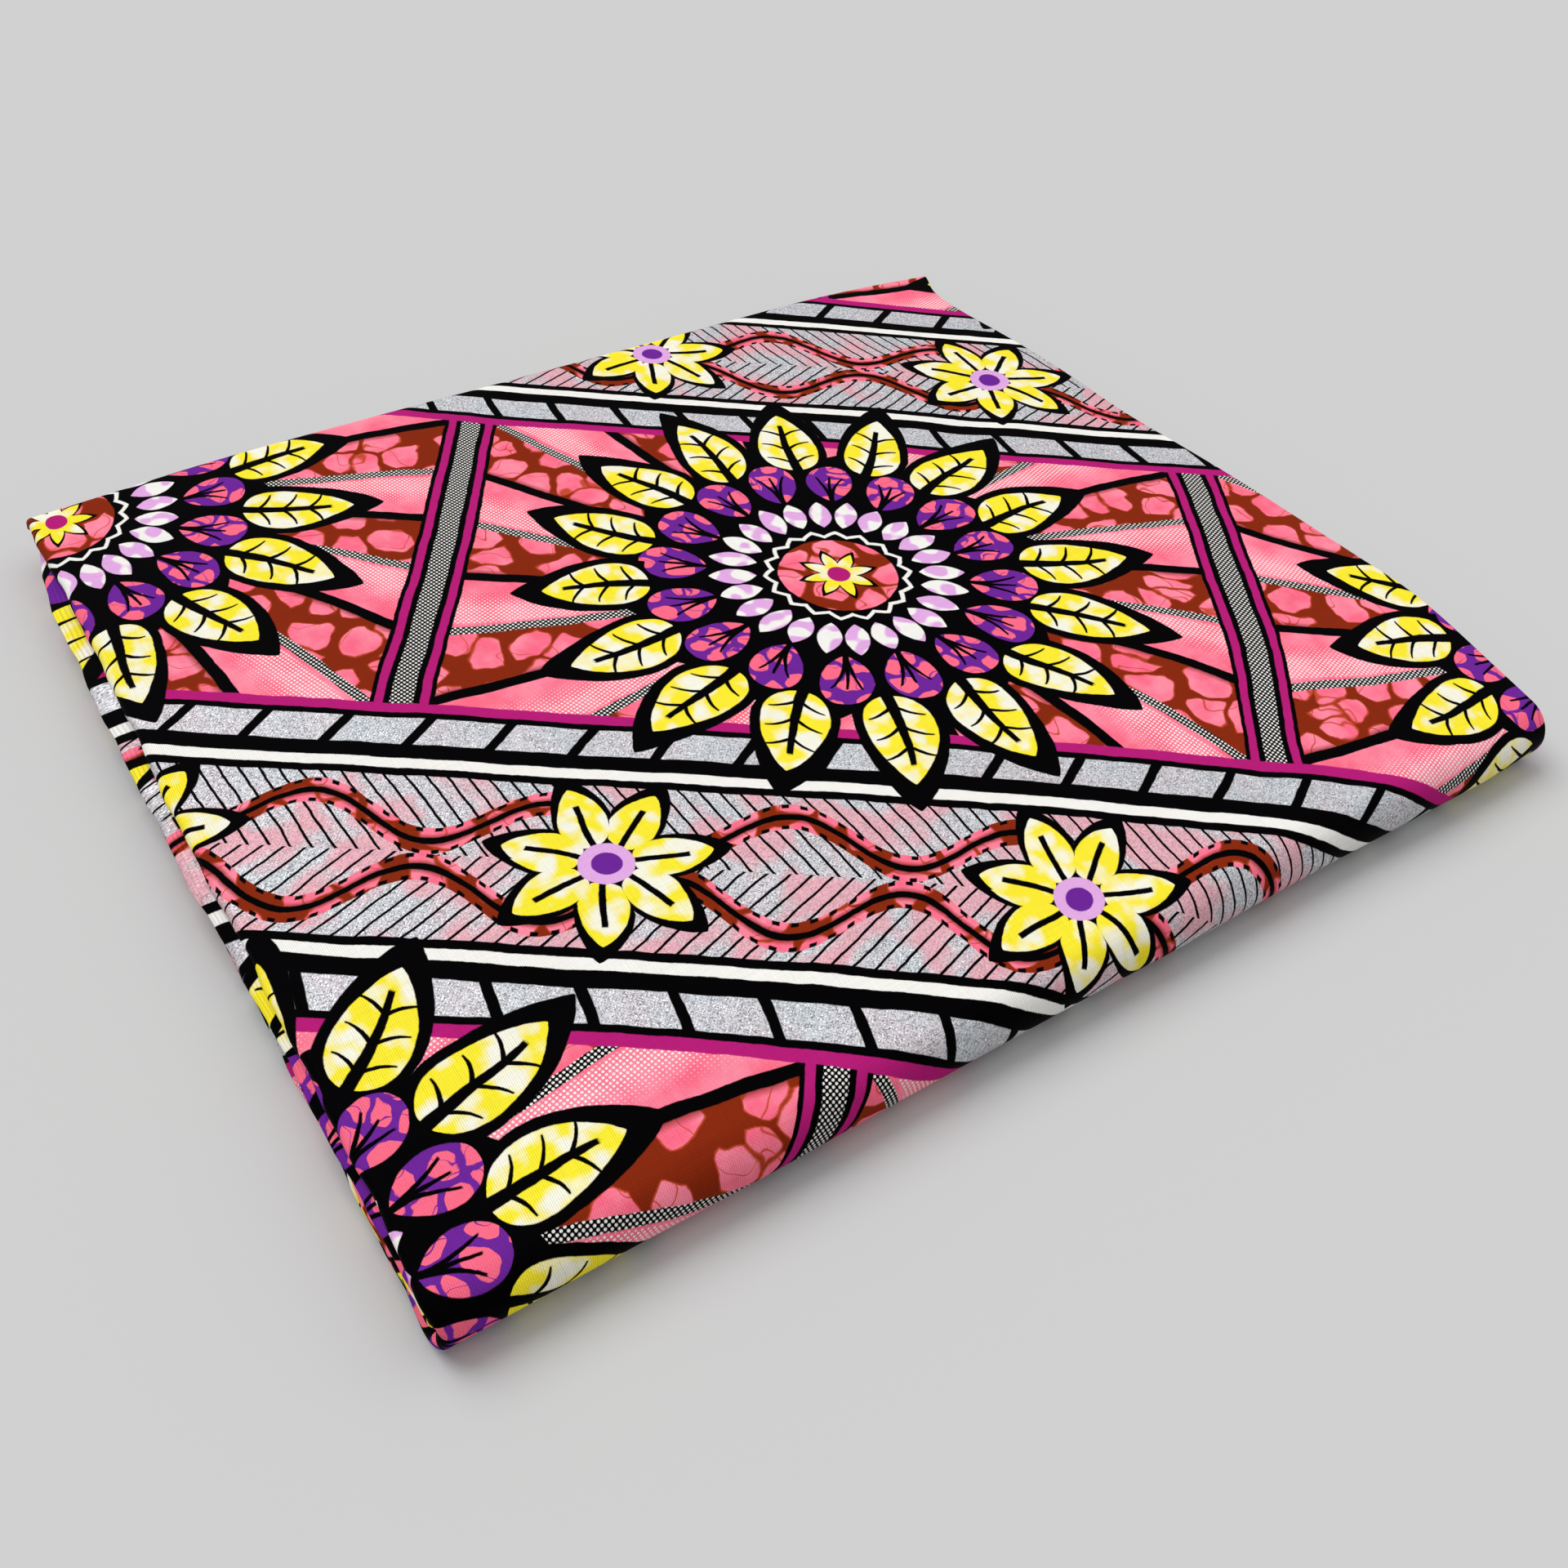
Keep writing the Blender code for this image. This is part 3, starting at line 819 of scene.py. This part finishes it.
    fans = placeRing(leafRing, tree, localA, localB, "fans")
    waxValues = {"Place": flat, "Cell": layout["fanPatch"], "Gap": 0.07, "Roundness": 1.2}
    fanWax = useGroup(crackle, tree, waxValues)
    fanInk = paint(fanWax["Blob"], ink["Purple"], ink["Pink"])
    fanSide = abs(fans["Side"])
    spread = fans["Along"] * (fans["Along"] * 0.45 + 0.06)
    fromFanRib = calculate("MINIMUM", fanSide, abs(fanSide - spread))
    ribs = inside(fromFanRib, 0.052 - fans["Along"] * 0.042, 0.014)
    ribs = ribs * below(fans["Along"], 0.7, 0.02)
    colour = paint(without(fans["Leaf"], ribs), colour, fanInk)

    lozenges = placeRing(leafRing, tree, localA, localB, "lozenges")
    lilacPatch = above(noise(flat, 0.20, 0.0), 0.5, 0.12)
    colour = paint(lozenges["Leaf"], colour, paint(lilacPatch, ink["White"], ink["Lilac"]))

    points = zigzag(turn * 18.0)
    for rim, name in (("whiteRim", "White"), ("blackRim", "Black")):
        colour = paint(inside(radius, points * 2.2 + layout[rim], 0.3), colour, ink[name])
    colour = paint(below(radius, layout["middle"]), colour, crackled)
    star = zigzag(turn * 8.0)
    colour = paint(inside(radius, star * 6.4 + 6.0, 0.3), colour, ink["Black"])
    colour = paint(inside(radius, star * 5.6 + 5.0, 0.3), colour, yellowed)
    colour = paint(below(radius, layout["eye"]), colour, ink["Magenta"])
    return closeGroup(tree, {"Colour": colour, "Glitter": glitter})


def buildWeave():
    # Plain weave: threads that cross over and under, painted shade in the gaps between them, some
    # finer than others
    tree, wires = newGroup(
        "plainWeave",
        {"Place": None, "Pitch": 0.49, "Gap": 0.4},
        {"Height": "Float", "Shade": "Float"},
    )
    flat = scaled(wires["Place"], 1000.0)
    x, y = splitVector(flat)[:2]
    warpSlub = noise(vectorCalculate("MULTIPLY", flat, (1.9, 0.05, 0)), 1.0, 1.0)
    weftSlub = noise(vectorCalculate("MULTIPLY", flat, (0.06, 1.5, 0)), 1.0, 1.0)
    turnX = (x + weftSlub * 0.12) / wires["Pitch"]
    turnY = (y + warpSlub * 0.12) / (wires["Pitch"] * 1.1)
    warp = abs(calculate("SINE", turnX * math.pi))
    weft = abs(calculate("SINE", turnY * math.pi))
    parity = calculate("FLOOR", turnX) + calculate("FLOOR", turnY)
    over = calculate("SINE", parity * math.pi + math.pi / 2) * 0.5 + 0.5
    # Painted shade in the gaps between the threads, as deep as Gap says
    paintedGapShade = (1 - warp) ** 2.0 * (warpSlub * 1.2 + 0.25) * (weft * 0.5 + 0.6)
    paintedGapShade = paintedGapShade + (1 - weft) ** 2.0 * 0.20
    # Shade is that painted gap shade, with a random tone from thread to thread
    shade = 1.07 - paintedGapShade * wires["Gap"] + (weftSlub - 0.5) * 0.12
    return closeGroup(tree, {"Height": blend(over, weft, warp), "Shade": shade})


def buildGlitter():
    # Glitter paste: fine flakes with painted reflection in their colour, most of them pale, some
    # dark, and painted glints on a few
    tree, wires = newGroup(
        "glitterFlakes",
        {"Place": None, "Flake": 0.34},
        {"Shade": "Float", "Tilt": "Float", "Tint": "Color"},
    )
    place = scaled(wires["Place"], calculate("DIVIDE", 1000.0, wires["Flake"]))
    red, green, blue = splitVector(cells(place, 1.0, "F1", "Color"))
    rim = calculate("MAXIMUM", cells(place, 1.0) - 0.25, 0.0)
    # Painted reflection: each flake's random tone stands for what it reflects; the few whose Tilt
    # is highest get a painted glint; rims are darker
    shade = red ** 0.5 * 0.86 + 0.34 + above(green, 0.95, 0.02) * 0.5 - rim * 0.45
    warmth = noise(place, 0.02, 1.0) * 2.2 - 1.1 + blue
    tint = paint(warmth, (0.94, 0.99, 1.02), (1.05, 0.96, 0.99))
    return closeGroup(tree, {"Shade": shade, "Tilt": green, "Tint": tint})


clothLook = {
    "threadPitch": 0.49,
    # how dark the weave's painted shade between the threads is
    "threadGapShade": 0.42,
    "threadDepth": 0.00006,
    "bumpStrength": 0.7,
    "flakeSize": 0.33,
    "roughness": 0.58,
    "specular": 0.012,
    "sheen": 0.005,
    "sheenRoughness": 0.4,
    "backPaleness": 0.10,
    "backTint": (0.80, 0.74, 0.72),
    "backGlitter": 0.15,
    "backDimming": 0.9,
}


def buildClothMaterial(name, groups, paleness, glitterShare, dimming):
    # Printed cotton; paleness washes the print out, dimming darkens it
    material = bpy.data.materials.new(name)
    material.use_nodes = True
    tree = material.node_tree
    shader = tree.nodes["Principled BSDF"]
    place = wireFrom(0, tree, "ShaderNodeUVMap", {}, uv_map="clothPlace")
    weave = useGroup(groups["weave"], tree, {
        "Place": place, "Pitch": clothLook["threadPitch"], "Gap": clothLook["threadGapShade"],
    })
    bump = wireFrom(0, tree, "ShaderNodeBump", {
        "Height": weave["Height"], "Distance": clothLook["threadDepth"],
        "Strength": clothLook["bumpStrength"],
    })
    printed = useGroup(groups["print"], tree, {"Place": place})
    flakes = useGroup(groups["glitter"], tree, {"Place": place, "Flake": clothLook["flakeSize"]})
    glitter = printed["Glitter"] * glitterShare
    tinted = paint(glitter, (1, 1, 1), flakes["Tint"])
    colour = vectorCalculate("MULTIPLY", printed["Colour"], tinted)
    if paleness:
        colour = paint(paleness, colour, clothLook["backTint"])
    # The tone carries the weave's painted gap shade and the flakes' painted reflections and glints;
    # dimming darkens the back
    tone = blend(glitter, weave["Shade"], flakes["Shade"]) * dimming
    colour = scaled(colour, tone)
    rough = blend(glitter, clothLook["roughness"], flakes["Tilt"] * 0.35 + 0.28)
    metal = glitter * above(flakes["Tilt"], 0.45, 0.2) * 0.7
    finish = {"Base Color": colour, "Roughness": rough, "Metallic": metal, "Normal": bump}
    for label, wire in finish.items():
        tree.links.new(wire.socket, shader.inputs[label])
    shader.inputs["Specular IOR Level"].default_value = clothLook["specular"]
    shader.inputs["Sheen Weight"].default_value = clothLook["sheen"]
    shader.inputs["Sheen Roughness"].default_value = clothLook["sheenRoughness"]
    shader.location = (190 * (colour.column + 2), 0)
    tree.nodes["Material Output"].location = (190 * (colour.column + 4), 0)
    return material


effects = {"weave": buildWeave(), "glitter": buildGlitter()}
effects["print"] = buildWaxPrint(buildCrackle(), buildHalftone(), buildLeafRing())
printedFace = buildClothMaterial("printedCottonFace", effects, 0.0, 1.0, 1.0)
printedBack = buildClothMaterial(
    "printedCottonBack", effects,
    clothLook["backPaleness"], clothLook["backGlitter"], clothLook["backDimming"],
)
clothMaterials = (printedFace, printedBack)
print("materials built")


# The outer cloth: underside, fat front fold, top, back roll and the tail under it
outerLook = {
    "rowSpacing": 0.0027,
    "undersideSpacing": 0.0045,
    "tailSpacing": 0.0028,
    "columnSpacing": 0.0026,
    "frontSteps": 26,
    "backSteps": 16,
    "leftCurlSteps": 12,
    "rightCurlSteps": 8,
    "leftTuck": 0.014,
    "rightTuck": 0.010,
    "tail": 0.014,
    "thickness": 0.0003,
    "curlShareAtBack": 0.72,
    "curlShrinksOver": 0.030,
}


def outerSection(curlShare):
    # One cross-section of the outer cloth: x, depth and place across the cloth
    look = outerLook
    left = pad / 2 * curlShare
    right = pad / 4 * curlShare
    leftAngles = np.radians(np.linspace(90, 270, look["leftCurlSteps"] + 1))
    rightAngles = np.radians(np.linspace(-90, 90, look["rightCurlSteps"] + 1))
    topCount = int(round(2 * halfLength / look["columnSpacing"]))
    top = np.linspace(-halfLength + left, halfLength - right, topCount)[1:-1]
    tuck = np.linspace(look["leftTuck"], 0, 6)[:-1]
    rightTuck = np.linspace(0, look["rightTuck"], 5)[1:]
    x = np.concatenate([
        -halfLength + left + tuck,
        -halfLength + left + left * np.cos(leftAngles),
        top,
        halfLength - right + right * np.cos(rightAngles),
        halfLength - right - rightTuck,
    ])
    depth = np.concatenate([
        2 * left + 0 * tuck,
        left + left * np.sin(leftAngles),
        0 * top,
        right + right * np.sin(rightAngles),
        2 * right + 0 * rightTuck,
    ])
    across = lengthAlong(x, depth)
    start = len(tuck) + len(leftAngles) - 1
    return x, depth, across - across[start] + x[start]


def buildOuterCloth():
    look = outerLook
    runs = padRuns(look["rowSpacing"], (look["frontSteps"], look["backSteps"], 8))
    runs["padA"] = padRuns(look["undersideSpacing"])["padA"]
    tailEnd = backCentre[0] - look["tail"]
    tailHeight = stack - 2 * backRadius
    runs["tail"] = flatRun(backCentre[0], tailEnd, tailHeight, 1, 2, look["tailSpacing"])
    names = ("padA", "frontFold", "padB", "backRoll", "tail")
    path = joinRuns([runs[name] for name in names], lengthBefore(runs, "padA"))
    # The left curl is thinner at the back, where the top pad's corner is pressed flat
    onTop = smoothStep(1 + (path[0] - backCentre[0]) / look["curlShrinksOver"])
    shrunk = np.where(path[5] > 1, 1.0, np.where(path[5] == 1, onTop, 0.0))
    shares = 1 + (look["curlShareAtBack"] - 1) * shrunk
    sections = [outerSection(share) for share in shares]
    x, depth, across = (np.array(rows) for rows in zip(*sections))
    piece = clothMesh("outerCloth", x, depth, across, path, look["thickness"])
    settleModifiers(piece)
    return piece, (across[0, -1] - across[0, 0], path[4, -1] - path[4, 0])


outerCloth, outerFlat = buildOuterCloth()
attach(outerCloth, "root")
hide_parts("outer_layer")
print("outer cloth built, %.3f by %.3f m" % outerFlat)


# The left ends of the two pads inside, one fat roll that turns round the inner fold
innerLook = {
    "tuck": 0.012,
    "curlSteps": 12,
    "rowSpacing": 0.004,
    "thickness": 0.0003,
    "printShift": 0.010,
}


def buildInnerRoll():
    look = innerLook
    runs = padRuns(look["rowSpacing"], (8, 8, 14))
    path = joinRuns([runs["padC"], runs["innerFold"], runs["padD"]], lengthBefore(runs, "padC"))
    angles = np.radians(np.linspace(90, 270, look["curlSteps"] + 1))
    tuck = np.linspace(look["tuck"], 0, 6)[:-1]
    half = pad / 2
    x = np.concatenate([tuck, half * np.cos(angles), tuck[::-1]]) - halfLength + half
    depth = np.concatenate([2 * half + 0 * tuck, half + half * np.sin(angles), 0 * tuck])
    across = lengthAlong(x, depth) - halfLength - look["printShift"]
    piece = clothMesh("innerRoll", x, depth, across, path, look["thickness"])
    settleModifiers(piece)
    return piece, (across[-1] - across[0], path[4, -1] - path[4, 0])


innerRoll, innerFlat = buildInnerRoll()
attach(innerRoll, "root")
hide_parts("hidden_layers")
print("inner roll built, %.3f by %.3f m" % innerFlat)


# Rolls along the right end: layers in each, depth in the pad, and how far each sits in at pads
# A, B, C and D, in millimetres. The last two layers are single cut edges.
rightRolls = {
    "rowSpacing": 0.0045,
    "thickness": 0.0002,
    "tuck": 0.009,
    "gap": 0.00002,
    "wander": 0.00035,
    "cutWander": 0.0007,
    "printStep": 0.343,
    "rolls": (
        (8, 0, (0.0, 0.0, 0.2, 0.5)),
        (4, 8, (0.9, 0.8, 0.6, 1.1)),
        (2, 12, (1.8, 1.6, 1.2, 2.0)),
        (2, 14, (3.2, 3.0, 2.2, 2.8)),
    ),
}


def rightSection(x, startDepth, endDepth, tuck, closed):
    # A folded edge seen end on, or a single cut edge where closed is false
    half = (endDepth - startDepth) / 2
    lines = np.linspace(tuck, 0, 4)
    if not closed:
        return x - lines, startDepth + 0 * lines
    angles = np.radians(np.linspace(-90, 90, 7))
    backX = x - half - lines[:-1]
    sectionX = np.concatenate([backX, x - half + half * np.cos(angles), backX[::-1]])
    depth = np.concatenate([
        startDepth + 0 * backX, startDepth + half + half * np.sin(angles), endDepth + 0 * backX,
    ])
    return sectionX, depth


def buildRightRolls():
    look = rightRolls
    runs = padRuns(look["rowSpacing"], (16, 12, 12))
    names = list(runs)
    pieces, widths, length = [], 0, 0
    layer = pad / 16
    for number, (layers, first, insets) in enumerate(look["rolls"]):
        chosen = names[4:] if first == 0 else names
        path = joinRuns([runs[name] for name in chosen], lengthBefore(runs, chosen[0]))
        inset = np.interp(path[5], (0, 1, 2, 3), insets) / 1000
        waves = np.sin(path[4] * 61 + number * 2.1) + 0.6 * np.sin(path[4] * 143 + number)
        edge = halfLength - inset + look["wander"] * (waves - 1.2)
        strips = [(first * layer + look["gap"], (first + layers) * layer - look["gap"], True)]
        if first == 14:
            strips = [((first + 0.35) * layer, 0, False), ((first + 1.35) * layer, 0, False)]
        for strip, (startDepth, endDepth, closed) in enumerate(strips):
            raw = 0 if closed else look["cutWander"] * np.sin(path[4] * 83 + 3 * strip)
            made = [
                rightSection(x, startDepth, endDepth, look["tuck"], closed) for x in edge + raw
            ]
            x, depth = (np.array(rows) for rows in zip(*made))
            across = lengthAlong(x, depth) + halfLength
            across = across + look["printStep"] * (number + 2 * strip + 1)
            name = "rightRoll%d%d" % (number, strip)
            pieces.append(clothMesh(name, x, depth, across, path, look["thickness"]))
            widths += (across[0, -1] - across[0, 0]) * (path[4, -1] - path[4, 0])
            length = max(length, path[4, -1] - path[4, 0])
    return joinPieces("rightEndRolls", pieces), (widths / length, length)


rightEndRolls, rightFlat = buildRightRolls()
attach(rightEndRolls, "root")
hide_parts("hidden_layers")
print("right end rolls built, %.3f by %.3f m" % rightFlat)


# Selvedges at the back of pads A and D: seven nested folds each, every edge a little in or out
selvedgeLook = {
    "thickness": 0.00017,
    "depth": 0.010,
    "columnSpacing": 0.004,
    "insets": (1.6, 0.7, 2.1, 1.1, 2.6, 1.4, 1.9, 1.0, 2.3, 0.8, 1.7, 1.2, 2.0, 0.6),
    "wander": 0.0005,
    "endInset": 0.0022,
    "printStart": (-0.62, 0.42),
}


def buildSelvedges():
    look = selvedgeLook
    runs = padRuns(look["columnSpacing"])
    layer = pad / 16
    pieces, width = [], 0
    for padName, phase, printStart in zip(("padA", "padD"), (0, 4), look["printStart"]):
        run = runs[padName]
        z, way = run[1, 0], run[3, 0]
        for fold in range(1, 8):
            half = pad / 2 - (fold + 0.5) * layer
            angles = np.radians(np.linspace(90, 270, 7))
            count = int(2 * halfLength / look["columnSpacing"])
            leg = np.linspace(halfLength - look["endInset"], -halfLength + pad / 2, count)[:-1]
            x = np.concatenate([leg, -halfLength + pad / 2 + half * np.cos(angles), leg[::-1]])
            depth = np.concatenate([
                pad / 2 + half + 0 * leg, pad / 2 + half * np.sin(angles), pad / 2 - half + 0 * leg,
            ])
            across = lengthAlong(x, depth)
            upper = np.linspace(0, 1, len(x))
            first, second = look["insets"][fold - 1], look["insets"][14 - fold]
            inset = (first + (second - first) * smoothStep(3 * upper - 1)) / 1000
            inset = inset + look["wander"] * np.sin(37 * x + 9 * fold + phase)
            inset = inset + look["wander"] * 0.6 * np.sin(91 * x + 5 * fold + across * 3)
            rows = np.linspace(0, 1, 4)
            y = halfDepth - (inset[None, :] + rows[:, None] * look["depth"])
            path = np.array([0 * rows, z + 0 * rows, 0 * rows, way + 0 * rows, rows * 0, rows * 0])
            path[4] = printStart + rows * look["depth"]
            name = "selvedge%s%d" % (padName, fold)
            piece = clothMesh(name, x, depth, across + 0.1 * fold, path, look["thickness"], y)
            piece.modifiers[0].offset = 0
            pieces.append(piece)
            width += across[-1]
    return joinPieces("selvedges", pieces), (width, look["depth"])


selvedges, selvedgeFlat = buildSelvedges()
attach(selvedges, "root")
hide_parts("hidden_layers")
print("selvedges built, %.3f by %.3f m" % selvedgeFlat)


# Floor, light and camera
studio = {
    "floorColour": (0.565, 0.565, 0.565),
    "floorReach": 6.0,
    "floorDrop": 0.0002,
    "worldStrength": 0.42,
    "backdrop": 0.635,
    "keyFrom": (-0.25, 0.60, 0.95),
    "keySpread": 42.0,
    "keyStrength": 2.0,
    "fillFrom": (0.45, -0.05, 0.95),
    "fillSpread": 60.0,
    "fillStrength": 0.62,
}

camera = {
    "place": (-0.208886, -0.281983, 0.297430),
    "azimuth": -37.674,
    "elevation": 45.037,
    "roll": 5.687,
    "lens": 35.716,
    "sensor": 36.0,
}


def buildFloor():
    mesh = bpy.data.meshes.new("studioFloor")
    reach = studio["floorReach"]
    corners = [(-reach, -reach, 0), (reach, -reach, 0), (reach, reach, 0), (-reach, reach, 0)]
    mesh.from_pydata(corners, [], [(0, 1, 2, 3)])
    material = bpy.data.materials.new("paleFloor")
    material.use_nodes = True
    shader = material.node_tree.nodes["Principled BSDF"]
    shader.inputs["Base Color"].default_value = (*studio["floorColour"], 1)
    shader.inputs["Roughness"].default_value = 0.9
    shader.inputs["Specular IOR Level"].default_value = 0.0
    mesh.materials.append(material)
    floor = bpy.data.objects.new("studioFloor", mesh)
    floor.location.z = -studio["floorDrop"]
    bpy.context.scene.collection.objects.link(floor)


def addLamp(name, comesFrom, spread, strength):
    # A far, broad lamp, so that the light is even over the whole floor and its shadows are soft
    lamp = bpy.data.lights.new(name, "SUN")
    lamp.angle = math.radians(spread)
    lamp.energy = strength
    holder = bpy.data.objects.new(name, lamp)
    x, y, z = np.array(comesFrom) / np.linalg.norm(comesFrom)
    holder.location = (x, y, z)
    holder.rotation_euler = (math.acos(z), 0, math.atan2(x, -y))
    bpy.context.scene.collection.objects.link(holder)


def buildStudio():
    world = bpy.data.worlds.new("studioLight")
    world.use_nodes = True
    # The backdrop is as pale as the lit floor, and lights the cloth less than it shows
    tree = world.node_tree
    background = tree.nodes["Background"]
    background.inputs["Color"].default_value = (1, 1, 1, 1)
    seen = tree.nodes.new("ShaderNodeLightPath").outputs["Is Camera Ray"]
    strength = tree.nodes.new("ShaderNodeMath")
    strength.operation = "MULTIPLY_ADD"
    strength.inputs[1].default_value = studio["backdrop"] - studio["worldStrength"]
    strength.inputs[2].default_value = studio["worldStrength"]
    tree.links.new(seen, strength.inputs[0])
    tree.links.new(strength.outputs[0], background.inputs["Strength"])
    bpy.context.scene.world = world
    addLamp("keyLamp", studio["keyFrom"], studio["keySpread"], studio["keyStrength"])
    addLamp("fillLamp", studio["fillFrom"], studio["fillSpread"], studio["fillStrength"])


def buildCamera():
    data = bpy.data.cameras.new("photoCamera")
    data.sensor_width = camera["sensor"]
    data.lens = camera["lens"]
    data.clip_start = 0.01
    holder = bpy.data.objects.new("photoCamera", data)
    turn = Matrix.Rotation(math.radians(camera["azimuth"]), 4, "Z")
    turn = turn @ Matrix.Rotation(math.radians(90 - camera["elevation"]), 4, "X")
    turn = turn @ Matrix.Rotation(math.radians(camera["roll"]), 4, "Z")
    holder.matrix_world = Matrix.Translation(camera["place"]) @ turn
    bpy.context.scene.collection.objects.link(holder)
    bpy.context.scene.camera = holder


buildFloor()
buildStudio()
buildCamera()
bpy.context.scene.view_settings.view_transform = "Standard"
print("studio built")
